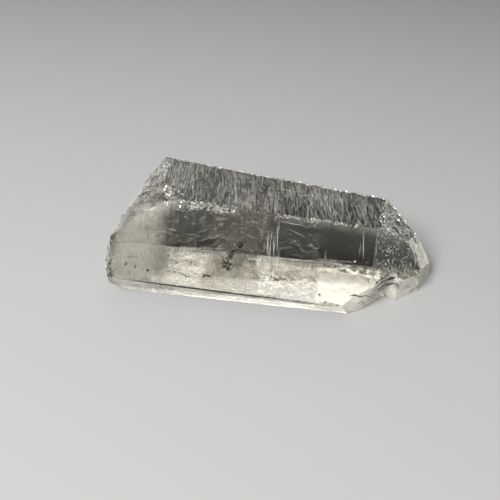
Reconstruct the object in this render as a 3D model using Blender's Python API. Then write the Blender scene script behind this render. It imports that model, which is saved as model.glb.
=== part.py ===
"""Lemurian quartz point: one natural crystal, lying on its bottom prism face.

Frame: +X along the crystal towards its point, +Y away from the front, +Z up.
The crystal rests on prism face D at z = 0 and the origin is the bottom centre
of its bounding box. Lengths are worked in millimetres and scaled once.
"""
import math
import random

import bmesh
import bpy
from mathutils import Matrix, Vector, noise

MM = 0.001
SEED = 1544

# Prism faces, round the growth axis: azimuth from the front, upwards (deg),
# distance from the axis (mm), taper towards the point (deg), depth of the
# growth lines (mm) and number of strips across the face.
PRISM = {
    "A": (90.0, 9.03, 2.15, 0.11, 3),
    "B": (30.0, 9.07, 4.07, 0.035, 4),
    "C": (-30.0, 13.80, 2.84, 0.07, 1),
    "D": (-90.0, 9.20, 1.50, 0.0, 1),
    "E": (-150.0, 10.83, -0.96, 0.09, 3),
    "F": (150.0, 12.74, 4.24, 0.05, 2),
}
# Faces of the point: azimuth, lean from the prism (deg), distance (mm),
# depth of the etched relief (mm).
POINT = {
    "rA": (90.0, 38.65, 23.42, 0.18),
    "rB": (30.0, 38.65, 22.16, 0.26),
    "rC": (-12.0, 41.9, 25.32, 0.18),
    "rF": (150.0, 38.65, 26.02, 0.10),
    "tip_worn": (72.9, 58.1, 29.78, 0.20),
    "tip_low": (1.3, 68.6, 33.90, 0.20),
}
LIE_TURN = PRISM["D"][2]        # taper of face D: turning by it lays D flat
AXIS_X = (-46.0, 46.0)          # length of the blank before it is cut
LINE_STEP = (0.28, 0.76)        # spacing of the growth lines
LINES_X = (-31.0, 37.0)         # where growth lines run
EDGE_CRISP = 0.30               # share of the line depth left at an edge
EDGE_WEAR = 0.13                # small nicks along the edges
RELIEF_GRID = 0.95              # grid laid over the faces of the point

# Broken base: the break leans back from the foot to the top, and its front
# side falls back towards the point.
BREAK_AT = (0.0, -8.0, 10.0)    # middle of the block that makes the break
BREAK_FOOT_X = -31.3            # where it meets the bottom, at the back
BREAK_BEND_Z = 13.3             # it leans more above this height
BREAK_LEAN = (0.47, 0.80)       # mm forward per mm up, below and above it
BREAK_SIDE_Y = (-1.7, 0.6)      # where the side starts, and its shift per mm up
BREAK_SIDE_WIDTH = 21.0
BREAK_SIDE_Z = 12.0             # height where the side falls back least
BREAK_SIDE = 1.2                # how far it falls back there
BREAK_SIDE_GROW = (0.05, 0.10)  # and how much more per mm squared, below, above
# Corners lost: between two heights, between two places across, by how much.
BREAK_CORNERS = (
    ((3.4, 0.0), (-13.0, -18.5), 2.4),
    ((4.0, 1.0), (-6.0, -9.5), 0.6),
    ((13.0, 10.0), (-10.0, -19.0), 1.1),
    ((17.0, 18.8), (1.0, -2.5), 1.6),
)
BREAK_LEDGE_Z = (6.2, 11.8)     # ledges across the break
BREAK_LEDGE = 0.75
BREAK_DENTS = ((8.7, 1.7, 0.8), (12.2, 1.2, 0.75))  # height, spread, depth
BREAK_DENT_Y = (-7.0, -1.0)     # the dents deepen from here to here
BREAK_WAVE_AT = (-4.0, 21.0)    # where the break started: Y, Z
BREAK_WAVE = (0.10, 2.3)        # ripples round that place: height, pitch
BREAK_ROUGH = 0.42

# Chip off the lower front corner, next to the point: a nearly flat break
# that ends in a small wall, and a shell-shaped hollow above the wall.
CHIP_AT = (27.4, -14.4, 3.5)
CHIP_OUT = (0.644, -0.710, -0.284)
CHIP_WALL_U = 4.5
CHIP_WALL = 2.8
SHELL_AT = (30.3, -14.0, 5.4)
SHELL_OUT = (0.70, -0.70, 0.12)
SHELL_RADIUS = 5.6
SHELL_DEPTH = 1.05
SHELL_PITCH = 0.85
SHELL_RIPPLE = 0.07

# Bruised stretches of the top front ridge: from, to (mm along X), depth.
BRUISES = ((-13.2, 2.6, 0.50), (20.0, 24.2, 0.34))
# Curved scar on face A that runs into the first bruise: ends and depth.
SCAR = ((-16.6, -8.2, 19.25), (-9.6, -13.2, 18.80), 0.26)

COLLECTION = "lemurian_quartz_point"
CRYSTAL = "quartz_crystal"
GLASS_IOR = 1.544


def clear_scene():
    """Empty the file."""
    for item in list(bpy.data.objects):
        bpy.data.objects.remove(item, do_unlink=True)


def collection(name):
    """A new collection linked to the scene."""
    made = bpy.data.collections.new(name)
    bpy.context.scene.collection.children.link(made)
    return made


def radial(azimuth, lean):
    """Outward normal of a face at this azimuth, leaning to the point."""
    a = math.radians(azimuth)
    t = math.radians(lean)
    ring = Vector((0.0, -math.cos(a), math.sin(a)))
    return ring * math.cos(t) + Vector((1.0, 0.0, 0.0)) * math.sin(t)


def cut_off(bm, normal, distance, tag):
    """Cut away everything beyond a plane and close the cut with one face."""
    geom = bm.verts[:] + bm.edges[:] + bm.faces[:]
    bmesh.ops.bisect_plane(
        bm, geom=geom, dist=1e-6, plane_co=normal * distance,
        plane_no=normal, clear_outer=True)
    rim = [edge for edge in bm.edges if edge.is_boundary]
    made = bmesh.ops.holes_fill(bm, edges=rim, sides=0)["faces"]
    for face in made:
        face.material_index = tag


def slice_faces(bm, faces, point, normal):
    """Draw one straight line across these faces only."""
    edges = {edge for face in faces for edge in face.edges}
    verts = {vert for face in faces for vert in face.verts}
    geom = list(verts) + list(edges) + list(faces)
    bmesh.ops.bisect_plane(
        bm, geom=geom, dist=1e-6, plane_co=point, plane_no=normal)


def faces_of(bm, tag):
    """Faces carrying this tag."""
    return [face for face in bm.faces if face.material_index == tag]


def prism_blank(tags):
    """Long six-sided blank with every prism face tagged."""
    bm = bmesh.new()
    bmesh.ops.create_cube(bm, size=2.0)
    half = AXIS_X[1]
    bmesh.ops.scale(bm, vec=(half, half, half), verts=bm.verts)
    for face in bm.faces:
        face.material_index = len(tags)
    for name, (azimuth, distance, taper, _depth, _strips) in PRISM.items():
        cut_off(bm, radial(azimuth, taper), distance, tags[name])
    return bm


def line_stations(rng):
    """Positions of the growth lines along the crystal."""
    x = LINES_X[0]
    found = []
    while x < LINES_X[1]:
        found.append(x)
        x += rng.uniform(*LINE_STEP) * (1.0 if x < 28.0 else 1.8)
    return found


def draw_growth_lines(bm, tags, stations):
    """Rings round the prism, then strips along each face."""
    along = Vector((1.0, 0.0, 0.0))
    for x in stations:
        slice_faces(bm, bm.faces[:], Vector((x, 0.0, 0.0)), along)
    for name, (azimuth, _distance, _taper, depth, strips) in PRISM.items():
        if strips < 2 or depth == 0.0:
            continue
        across = radial(azimuth, 0.0).cross(along)
        faces = faces_of(bm, tags[name])
        reach = [vert.co.dot(across) for face in faces for vert in face.verts]
        low, high = min(reach), max(reach)
        for k in range(1, strips):
            at = low + (high - low) * k / strips
            slice_faces(bm, faces_of(bm, tags[name]), across * at, across)


def line_depths(stations, rng):
    """A depth share for every growth line on every prism face."""
    table = {}
    for name in PRISM:
        for k, x in enumerate(stations):
            deep = rng.uniform(0.55, 1.0) if k % 2 else rng.uniform(0.0, 0.3)
            if rng.random() < 0.12:
                deep = 0.15
            table[(name, round(x, 4))] = deep
    return table


def push_in(vert, wanted):
    """Move a vertex so that it sits a given depth under each of its faces."""
    if len(wanted) == 1:
        normal, depth = wanted[0]
        vert.co -= normal * depth
        return
    (n1, d1), (n2, d2) = wanted[:2]
    c = n1.dot(n2)
    det = 1.0 - c * c
    a = (d1 - c * d2) / det
    b = (d2 - c * d1) / det
    vert.co -= n1 * a + n2 * b


def carve_growth_lines(bm, tags, depths):
    """Sink the growth lines: a ladder of fine ledges across each face."""
    names = {tags[name]: name for name in PRISM}
    moves = []
    for vert in bm.verts:
        near = {names[f.material_index] for f in vert.link_faces
                if f.material_index in names}
        key = round(vert.co.x, 4)
        wanted = []
        for name in sorted(near):
            azimuth, _distance, taper, depth, _strips = PRISM[name]
            share = depths.get((name, key), 0.0)
            patch = 0.5 + 0.5 * noise.noise(vert.co * 0.35 + Vector((7.0, 0, 0)))
            sunk = depth * share * (0.45 + 0.75 * patch)
            if len(near) > 1 and depth > 0.0:
                nick = noise.noise(Vector((vert.co.x * 0.9, azimuth, 3.0)))
                sunk = sunk * EDGE_CRISP + EDGE_WEAR * max(0.0, nick)
            wanted.append((radial(azimuth, taper), sunk))
        if wanted:
            moves.append((vert, wanted))
    for vert, wanted in moves:
        push_in(vert, wanted)


def relief(bm, tag, normal, depth):
    """Etched relief on one face of the point: low rounded hillocks."""
    faces = faces_of(bm, tag)
    if not faces:
        return
    side = normal.cross(Vector((0.0, 0.0, 1.0))).normalized()
    rise = side.cross(normal).normalized()
    for axis in (side, rise):
        reach = [vert.co.dot(axis) for face in faces for vert in face.verts]
        count = int((max(reach) - min(reach)) / RELIEF_GRID)
        for k in range(1, count + 1):
            at = min(reach) + (k + 0.23) * (max(reach) - min(reach)) / (count + 1)
            slice_faces(bm, faces_of(bm, tag), axis * at, axis)
    for face in faces_of(bm, tag):
        for vert in face.verts:
            vert.tag = True
    for vert in bm.verts:
        inside = all(f.material_index == tag for f in vert.link_faces)
        if vert.tag and inside:
            bump = noise.noise(vert.co * 0.75) + 0.6 * noise.noise(vert.co * 1.9)
            vert.co -= normal * depth * max(0.03, 0.5 + 0.6 * bump)
        vert.tag = False


def grow_crystal():
    """Whole crystal before its damage, in growth coordinates."""
    rng = random.Random(SEED)
    tags = {name: k for k, name in enumerate(list(PRISM) + list(POINT))}
    bm = prism_blank(tags)
    stations = line_stations(rng)
    draw_growth_lines(bm, tags, stations)
    carve_growth_lines(bm, tags, line_depths(stations, rng))
    for name, (azimuth, lean, distance, _depth) in POINT.items():
        cut_off(bm, radial(azimuth, lean), distance, tags[name])
    for name, (azimuth, lean, _distance, depth) in POINT.items():
        relief(bm, tags[name], radial(azimuth, lean), depth)
    return bm


def lying_matrix():
    """Turn about Y so that face D lies level, then set it down on z = 0."""
    turn = Matrix.Rotation(math.radians(LIE_TURN), 4, "Y")
    down = Matrix.Translation((0.0, -7.6, PRISM["D"][1]))
    return down @ turn


def ease(value, start, end):
    """Smooth step from 0 at start to 1 at end."""
    t = min(1.0, max(0.0, (value - start) / (end - start)))
    return t * t * (3.0 - 2.0 * t)


def rough(x, y, z):
    """Small-scale roughness of a fresh break, about -1 to 1."""
    p = Vector((x, y, z))
    return noise.noise(p * 0.24) + 0.45 * noise.noise(p * 0.7) \
        + 0.2 * noise.noise(p * 1.7)


def break_side(y, z):
    """How far the front side of the break has fallen back."""
    start = BREAK_SIDE_Y[0] + BREAK_SIDE_Y[1] * min(z, BREAK_SIDE_Z)
    side = max(0.0, (start - y) / BREAK_SIDE_WIDTH)
    grow = BREAK_SIDE_GROW[0] if z < BREAK_SIDE_Z else BREAK_SIDE_GROW[1]
    return (BREAK_SIDE + grow * (z - BREAK_SIDE_Z) ** 2) * side * side


def break_ledges(y, z):
    """Ledges that run across the break, a little uneven."""
    wander = 0.10 * (y + 6.0) + 0.5 * noise.noise(Vector((y, 3.0, z)) * 0.5)
    climb = [ease(z + wander, level - 0.8, level + 0.8) for level in BREAK_LEDGE_Z]
    return BREAK_LEDGE * (sum(climb) - len(climb) / 2.0)


def break_surface(u, v):
    """How far the broken base lies towards -X: u is across, v is up."""
    y = BREAK_AT[1] - u
    z = BREAK_AT[2] + v
    x = BREAK_FOOT_X + BREAK_LEAN[0] * min(z, BREAK_BEND_Z)
    x += BREAK_LEAN[1] * max(0.0, z - BREAK_BEND_Z)
    x += break_side(y, z) + break_ledges(y, z)
    for heights, across, lost in BREAK_CORNERS:
        x += lost * ease(z, *heights) * ease(y, *across)
    for height, spread, depth in BREAK_DENTS:
        x += depth * math.exp(-((z - height) / spread) ** 2) * ease(y, *BREAK_DENT_Y)
    reach = math.hypot(y - BREAK_WAVE_AT[0], z - BREAK_WAVE_AT[1])
    wave = math.sin(reach * 2.0 * math.pi / BREAK_WAVE[1])
    x += BREAK_WAVE[0] * wave * ease(reach, 2.0, 7.0)
    x += BREAK_ROUGH * rough(y, z, 5.0)
    return -x


def chip_surface(u, v):
    """Nearly flat break that climbs a small wall at its far end."""
    swell = 0.40 * math.exp(-((u + 2.0) / 2.6) ** 2)
    swell -= 0.40 * math.exp(-((u - 3.7) / 1.3) ** 2)
    streak = 0.05 * math.sin(6.5 * (u - 0.45 * v)) + 0.09 * rough(u, v, 9.0)
    return swell - 0.12 + streak + CHIP_WALL * ease(u, CHIP_WALL_U, CHIP_WALL_U + 1.5)


def shell_surface(u, v):
    """Shell-shaped hollow with ripples round the place it was struck."""
    flat = min(0.98 * SHELL_RADIUS ** 2, u * u + v * v)
    bowl = SHELL_RADIUS - SHELL_DEPTH - math.sqrt(SHELL_RADIUS ** 2 - flat)
    reach = math.hypot(u - 1.0, v + 3.4)
    wave = math.sin(reach * 2.0 * math.pi / SHELL_PITCH)
    return bowl + SHELL_RIPPLE * wave + 0.05 * rough(u, v, 2.0)


def bruise_surface(span, depth):
    """Crumbled groove along a ridge between two places."""
    half = span / 2.0

    def surface(u, v):
        fade = ease(half - abs(u), 0.0, min(3.0, half))
        sunk = depth * (0.75 + 0.35 * noise.noise(Vector((u, 2.0, v)) * 0.9))
        crumb = 0.16 * noise.noise(Vector((u, v, 4.0)) * 2.4)
        return 0.35 - (sunk + 0.35) * fade + crumb * fade + 0.10 * v * v

    return surface


def tool_block(name, place, out, along, size, cells, surface, back, home):
    """Cutting block: a surface facing the crystal, closed behind it."""
    out = Vector(out).normalized()
    u_axis = (Vector(along) - out * out.dot(Vector(along))).normalized()
    v_axis = out.cross(u_axis)
    bm = bmesh.new()
    bmesh.ops.create_grid(bm, x_segments=cells[0], y_segments=cells[1], size=0.5)
    for vert in bm.verts:
        vert.co.x *= size[0]
        vert.co.y *= size[1]
    base = list(bm.faces)
    extruded = bmesh.ops.extrude_face_region(bm, geom=base)["geom"]
    tops = {g for g in extruded if isinstance(g, bmesh.types.BMVert)}
    for vert in bm.verts:
        u, v = vert.co.x, vert.co.y
        lift = back if vert in tops else surface(u, v)
        vert.co = Vector(place) + u_axis * u + v_axis * v + out * lift
    bmesh.ops.recalc_face_normals(bm, faces=bm.faces)
    bmesh.ops.triangulate(bm, faces=bm.faces)
    if bm.calc_volume(signed=True) < 0.0:
        bmesh.ops.reverse_faces(bm, faces=bm.faces)
    bmesh.ops.scale(bm, vec=(MM, MM, MM), verts=bm.verts)
    tool = new_object(name, bm, home)
    tool.hide_render = True
    tool.display_type = "WIRE"
    return tool


def new_object(name, bm, home):
    """Mesh object from a bmesh, linked to one collection."""
    mesh = bpy.data.meshes.new(name)
    bm.to_mesh(mesh)
    bm.free()
    made = bpy.data.objects.new(name, mesh)
    home.objects.link(made)
    return made


def cut_with(target, tool):
    """Exact difference, left live."""
    mod = target.modifiers.new(tool.name, "BOOLEAN")
    mod.operation = "DIFFERENCE"
    mod.solver = "EXACT"
    mod.object = tool


def ridge_line(lie):
    """Point and direction of the ridge between faces A and B, lying down."""
    n1 = radial(PRISM["A"][0], PRISM["A"][2])
    n2 = radial(PRISM["B"][0], PRISM["B"][2])
    c = n1.dot(n2)
    det = 1.0 - c * c
    d1, d2 = PRISM["A"][1], PRISM["B"][1]
    on = n1 * ((d1 - c * d2) / det) + n2 * ((d2 - c * d1) / det)
    run = n2.cross(n1)
    run = (run if run.x > 0.0 else -run).normalized()
    turn = lie.to_3x3()
    return lie @ on, turn @ run, turn @ (n1 + n2).normalized()


def quartz_material():
    """Clear, faintly warm quartz."""
    mat = bpy.data.materials.new("quartz")
    mat.use_nodes = True
    shader = mat.node_tree.nodes["Principled BSDF"]
    shader.inputs["Base Color"].default_value = (0.93, 0.93, 0.91, 1.0)
    shader.inputs["Roughness"].default_value = 0.08
    shader.inputs["IOR"].default_value = GLASS_IOR
    shader.inputs["Transmission Weight"].default_value = 1.0
    return mat


def centre_on_origin(crystal, items):
    """Move every mesh so the crystal's box stands centred on the origin."""
    bpy.context.view_layer.update()
    graph = bpy.context.evaluated_depsgraph_get()
    corners = [Vector(c) for c in crystal.evaluated_get(graph).bound_box]
    low = [min(c[k] for c in corners) for k in range(3)]
    high = [max(c[k] for c in corners) for k in range(3)]
    shift = Vector((-(low[0] + high[0]) / 2, -(low[1] + high[1]) / 2, -low[2]))
    for item in items:
        item.data.transform(Matrix.Translation(shift))
        item.data.update()


def build():
    """Make the crystal and the blocks that shape its damage."""
    clear_scene()
    home = collection(COLLECTION)
    tools = collection("cutters")
    lie = lying_matrix()
    bm = grow_crystal()
    bmesh.ops.transform(bm, matrix=lie, verts=bm.verts)
    bmesh.ops.triangulate(bm, faces=bm.faces)
    bmesh.ops.scale(bm, vec=(MM, MM, MM), verts=bm.verts)
    crystal = new_object(CRYSTAL, bm, home)
    crystal.data.materials.append(quartz_material())
    broken = tool_block("cut_base_break", BREAK_AT, (-1, 0, 0), (0, -1, 0),
                        (42.0, 34.0), (52, 42), break_surface, 60.0, tools)
    cut_with(crystal, broken)
    chip = tool_block("cut_corner_chip", CHIP_AT, CHIP_OUT, (1.0, 0.907, 0.0),
                      (22.0, 18.0), (34, 26), chip_surface, 9.0, tools)
    cut_with(crystal, chip)
    shell = tool_block("cut_shell_hollow", SHELL_AT, SHELL_OUT, (1.0, 1.0, 0.0),
                       (9.0, 9.0), (26, 26), shell_surface, 8.0, tools)
    cut_with(crystal, shell)
    on, run, out = ridge_line(lie)
    for k, (start, end, depth) in enumerate(BRUISES):
        middle = on + run * ((start + end) / 2.0 - on.x) / run.x
        span = end - start
        cells = (int(span / 0.55), 6)
        tool = tool_block("cut_ridge_bruise_%d" % (k + 1), middle, out, run,
                          (span, 3.2), cells, bruise_surface(span, depth), 3.0, tools)
        cut_with(crystal, tool)
    start, end, depth = (Vector(SCAR[0]), Vector(SCAR[1]), SCAR[2])
    span = (end - start).length
    scar = tool_block("cut_scar", (start + end) / 2.0, (0.06, 0.0, 1.0), end - start,
                      (span, 2.4), (14, 6), bruise_surface(span, depth), 3.0, tools)
    cut_with(crystal, scar)
    centre_on_origin(crystal, [crystal] + list(tools.objects))


build()
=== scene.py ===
"""Looks of a lemurian quartz point: surface, inner veils, studio light.

Laid out as a Blender add-on and run as a script. Lengths are in metres unless
a name ends in _MM or a comment says mm. Frame: +X towards the point, +Y away
from the front, +Z up.
"""

import math
import random

import bmesh
import bpy
from bpy.props import FloatProperty, FloatVectorProperty, IntProperty, PointerProperty
from mathutils import Matrix, Vector


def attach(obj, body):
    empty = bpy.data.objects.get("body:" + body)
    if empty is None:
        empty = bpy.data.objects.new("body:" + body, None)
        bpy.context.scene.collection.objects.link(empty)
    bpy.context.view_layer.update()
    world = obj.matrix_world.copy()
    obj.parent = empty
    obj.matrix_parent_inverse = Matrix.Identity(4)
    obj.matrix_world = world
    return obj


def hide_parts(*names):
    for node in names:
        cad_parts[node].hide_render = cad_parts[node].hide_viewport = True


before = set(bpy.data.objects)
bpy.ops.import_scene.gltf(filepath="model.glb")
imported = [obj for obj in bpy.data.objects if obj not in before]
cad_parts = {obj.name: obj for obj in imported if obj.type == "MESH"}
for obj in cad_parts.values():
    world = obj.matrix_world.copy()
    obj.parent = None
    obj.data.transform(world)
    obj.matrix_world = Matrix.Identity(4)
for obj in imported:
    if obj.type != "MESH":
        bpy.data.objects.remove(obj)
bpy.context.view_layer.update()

bl_info = {
    "name": "Lemurian Quartz Point",
    "version": (1, 0, 0),
    "blender": (4, 5, 0),
    "location": "View3D > Sidebar > Quartz",
    "description": "Dresses a natural quartz crystal and lights it",
    "category": "Object",
}

MM = 0.001
FULL_TURN = 6.283               # rad
HALF_TURN = 3.14
QUARTZ_IOR = 1.544
NODE = "quartz_crystal"
BODY = "root"

# Growth frame of the crystal: it lies turned by LIE_TURN about Y, with the
# axis of growth AXIS_AT_MM off the origin.
LIE_TURN = math.radians(1.5)
AXIS_AT_MM = (-3.477, 0.236, 9.20)

# Faces: azimuth and lean of the outward normal (deg), distance from the axis
# of growth (mm).
FACES = {
    "A": (90.0, 2.15, 9.03),
    "B": (30.0, 4.07, 9.07),
    "C": (-30.0, 2.84, 13.8),
    "D": (-90.0, 1.5, 9.2),
    "E": (-150.0, -0.96, 10.83),
    "F": (150.0, 4.24, 12.74),
    "rA": (90.0, 38.65, 23.42),
    "rB": (30.0, 38.65, 22.16),
    "rC": (-12.0, 41.9, 25.32),
    "rF": (150.0, 38.65, 26.02),
    "tip_worn": (72.9, 58.1, 29.78),
    "tip_low": (1.3, 68.6, 33.9),
}


def growth_matrix():
    """Growth frame to part frame, in metres."""
    place = Matrix.Translation(Vector(AXIS_AT_MM) * MM)
    return place @ Matrix.Rotation(LIE_TURN, 4, "Y")


def growth_axis():
    """Direction that the crystal grew in."""
    return tuple(growth_matrix().to_3x3() @ Vector((1.0, 0.0, 0.0)))


def face_normal(name):
    """Outward normal of one face, in the growth frame."""
    a, t = (math.radians(v) for v in FACES[name][:2])
    ring = Vector((0.0, -math.cos(a), math.sin(a)))
    return ring * math.cos(t) + Vector((1.0, 0.0, 0.0)) * math.sin(t)


# ---- Settings ----

def number(name, description, default, unit="NONE"):
    """Number that a user may change."""
    return FloatProperty(name=name, description=description, default=default, unit=unit)


def length(name, description, default):
    """Length that a user may change."""
    return number(name, description, default, "LENGTH")


def colour(name, description, default):
    """Colour that a user may change."""
    return FloatVectorProperty(name=name, description=description, default=default,
                               subtype="COLOR", size=3)


class QuartzSurface(bpy.types.PropertyGroup):
    """Fine relief of the grown faces."""
    line_spacing: length("Line spacing", "Distance between fine growth lines", 0.00042)
    line_depth: length("Line depth", "Height of the growth lines", 0.000010)
    fine_depth: length("Fine depth", "Height of the finest growth lines", 0.000055)
    etch_depth: length("Etch depth", "Height of the etched hillocks", 0.00006)
    etch_size: length("Etch size", "Size of the etched hillocks", 0.0008)
    grain_depth: length("Grain depth", "Roughness of broken places", 0.00006)
    grain_size: length("Grain size", "Size of the grain of broken places", 0.0007)
    crisp_angle: number("Crisp angle", "Edges sharper than this stay crisp",
                        math.radians(28.0), "ROTATION")
    refine: IntProperty(
        name="Refine", description="How often every face is divided",
        default=2, min=0, max=3)


class QuartzGlass(bpy.types.PropertyGroup):
    """Clear substance of the crystal."""
    ior: number("Refractive index", "Refractive index of quartz", QUARTZ_IOR)
    tint: colour("Tint", "Colour that the crystal takes with depth", (0.82, 0.78, 0.58))
    density: number("Density", "Absorption density, per metre", 13.0)


class QuartzFlaws(bpy.types.PropertyGroup):
    """Frost, glints painted as highlights, and the flaws inside."""
    frost_density: number("Frost density", "Crumbs of frost per square metre", 4.2e7)
    frost_size: length("Frost size", "Width of one crumb of frost", 0.00024)
    # Glints: growth lines painted white, standing in for highlights off their ledges.
    glint_density: number("Glint density", "Bright growth lines per square metre", 1.8e6)
    glint_length: length("Glint length", "Length of a bright growth line", 0.0034)
    glint_width: length("Glint width", "Width of a bright growth line", 0.000036)
    bruise_density: number("Bruise density", "Splinters per square metre", 3.8e7)
    bruise_size: length("Bruise size", "Width of one splinter of a bruise", 0.00034)
    # Also the white of the glints painted on the growth lines as highlights.
    frost_and_glint_colour: colour("Frost", "Colour of frost and veils", (0.89, 0.865, 0.785))
    # Colour of the dark specks, and of the painted shade lines under the front's lower
    # edge.
    speck_and_shade_colour: colour("Dark specks", "Colour of the dark specks inside",
                        (0.030, 0.028, 0.024))
    seed: IntProperty(name="Seed", description="Seed of everything scattered", default=7)


class StudioLight(bpy.types.PropertyGroup):
    """Floor, soft boxes and surroundings."""
    floor_colour: colour("Floor", "Colour of the floor", (0.60, 0.60, 0.59))
    world_level: number("Surroundings", "Brightness of the surroundings", 0.05)
    back_power: number("Back light", "Power of the soft box behind", 0.12, "POWER")
    side_power: number("Side light", "Power of the soft box on the left", 0.26, "POWER")
    key_power: number(
        "Key light", "Power of the soft box in front, high up", 6.2, "POWER")
    over_power: number("Overhead light", "Power of the soft box overhead", 0.10, "POWER")


# ---- Node helpers ----

class Field:
    """Result of a node, which sums can be written with."""

    def __init__(self, socket):
        self.socket = socket
        self.tree = socket.id_data

    def __add__(self, other):
        return summed("ADD", self, other)

    def __sub__(self, other):
        return summed("SUBTRACT", self, other)

    def __rsub__(self, other):
        return summed("SUBTRACT", other, self)

    def __mul__(self, other):
        return summed("MULTIPLY", self, other)


def feed(made, values):
    """Join fields to the node's inputs by name or number, or give plain values."""
    for key, value in dict(values).items():
        if isinstance(value, Field):
            made.id_data.links.new(value.socket, made.inputs[key])
        else:
            made.inputs[key].default_value = value


def node(tree, kind, values=(), **props):
    """New node with its properties and inputs."""
    made = tree.nodes.new(kind)
    for key, value in props.items():
        setattr(made, key, value)
    feed(made, values)
    return made


def field(tree, kind, values=(), out=0, **props):
    """One result of a new node."""
    return Field(node(tree, kind, values, **props).outputs[out])


def joined(kind, values, out=0, **props):
    """One result of a new node, in the tree of the fields that feed it."""
    tree = next(v.tree for v in values.values() if isinstance(v, Field))
    return field(tree, kind, values, out, **props)


def summed(operation, *terms):
    """One sum of fields and numbers."""
    return joined("ShaderNodeMath", dict(enumerate(terms)), operation=operation)


def vector_sum(operation, first, second):
    """One sum of two vectors."""
    out = "Value" if operation in ("DOT_PRODUCT", "DISTANCE") else "Vector"
    return joined("ShaderNodeVectorMath", {0: first, 1: second}, out,
                  operation=operation)


def scaled(vector, scale):
    """Vector times a number."""
    return joined("ShaderNodeVectorMath", {0: vector, "Scale": scale}, operation="SCALE")


def three(x, y, z):
    """Vector of three fields."""
    return joined("ShaderNodeCombineXYZ", {0: x, 1: y, 2: z})


def along_x(place):
    """X of a position."""
    return joined("ShaderNodeSeparateXYZ", {0: place})


def clamped(value):
    """Value held between 0 and 1."""
    return summed("MINIMUM", summed("MAXIMUM", value, 0.0), 1.0)


def window(value, low, high, soft):
    """1 between two limits, falling to 0 over a soft margin."""
    rise = summed("DIVIDE", value - low, soft)
    fall = summed("DIVIDE", high - value, soft)
    return clamped(summed("MINIMUM", rise, fall))


def stretched(place, along, across):
    """Position scaled differently along and across the axis of growth."""
    axis = growth_axis()
    reach = vector_sum("DOT_PRODUCT", place, axis)
    stem = scaled(axis, reach * (along - across))
    return vector_sum("ADD", stem, scaled(place, across))


def noise_at(place, scale, detail=2.0, rough=0.55, shift=None):
    """Noise from -1 to 1 at a position."""
    values = {"Vector": place, "Scale": scale, "Detail": detail, "Roughness": rough}
    if shift:
        values["W"] = shift
    made = joined("ShaderNodeTexNoise", values, "Fac",
                  noise_dimensions="4D" if shift else "3D")
    return (made - 0.5) * 2.0


def face_value(tree, name):
    """Float stored on the faces."""
    return field(tree, "GeometryNodeInputNamedAttribute", {"Name": name}, "Attribute",
                 data_type="FLOAT")


def here(tree):
    """Position of each point."""
    return field(tree, "GeometryNodeInputPosition")


def of_kind(tree, name):
    """1 on one kind of surface, 0 elsewhere."""
    return summed("COMPARE", face_value(tree, "kind"), float(KINDS.index(name)), 0.1)


# ---- Crystal mesh ----

# How each kind of surface looks close up: growth lines, etched hillocks and broken grain
# (shares of their depths), frosting of the glass, and shares of frost crumbs and of
# glints, growth lines painted white as highlights. The last key is 1 on every kind.
FINISH_KEYS = ("lines", "etch", "grain", "frost", "crumbs", "glints", "everywhere")
FINISH = {
    "A": (1.0, 0.04, 0.0, 0.08, 0.05, 4.0),
    "B": (0.25, 0.05, 0.0, 0.02, 0.002, 0.55),
    "C": (0.5, 0.1, 0.0, 0.06, 0.05, 0.1),
    "D": (0.35, 0.3, 0.0, 0.03, 0.12, 0.1),
    "E": (0.12, 0.08, 0.0, 0.02, 0.07, 0.1),
    "F": (0.3, 0.1, 0.0, 0.04, 0.06, 0.15),
    "rA": (0.0, 0.3, 0.4, 0.2, 0.62, 0.0),
    "rB": (0.0, 0.3, 0.4, 0.18, 0.3, 0.0),
    "rC": (0.0, 0.4, 0.0, 0.3, 3.4, 0.0),
    "rF": (0.0, 0.5, 0.0, 0.1, 0.2, 0.0),
    "tip_worn": (0.0, 0.5, 0.1, 0.3, 4.5, 0.0),
    "tip_low": (0.0, 0.4, 0.1, 0.3, 3.4, 0.0),
    "base": (0.0, 0.0, 0.7, 0.44, 0.52, 0.0),
    "chip": (0.0, 0.0, 0.15, 0.36, 2.4, 0.0),
    "bruise": (0.0, 0.0, 0.8, 0.15, 0.6, 0.0),
}
KINDS = list(FINISH)
BASE_BEFORE_X = -0.017          # broken places before this are the base
CHIP_BEYOND_X = 0.018           # and beyond this the chip

# A triangle belongs to a grown face if it faces its way this well and lies this
# deep under it at least and at most (mm).
FACING = 0.8
FACE_DEPTH = (-0.05, 0.42)

# How far lines and patches are drawn out: growth lines of the relief and the
# finest ones across the crystal, patches along it.
LINE_STRETCH = 0.05
FINE_STRETCH = 0.03
PATCH_STRETCH = 0.45
KIND_SHIFT = 5.1                # sets the lines of one face off from the next


def merged_copy(name):
    """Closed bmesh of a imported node, its triangles welded together."""
    bm = bmesh.new()
    bm.from_mesh(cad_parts[name].data)
    bmesh.ops.remove_doubles(bm, verts=bm.verts, dist=1e-7)
    return bm


def kind_of(face, home, turn, planes):
    """Which grown face a triangle belongs to, or which broken place."""
    centre = face.calc_center_median()
    inside = (home @ centre) / MM
    normal = turn @ face.normal
    depths = {name: distance - inside.dot(out)
              for name, (out, distance) in planes.items() if normal.dot(out) > FACING}
    near = [name for name in depths if FACE_DEPTH[0] < depths[name] < FACE_DEPTH[1]]
    if near:
        return min(near, key=depths.get)
    if centre.x < BASE_BEFORE_X:
        return "base"
    return "chip" if centre.x > CHIP_BEYOND_X and centre.y < 0.0 else "bruise"


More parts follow.
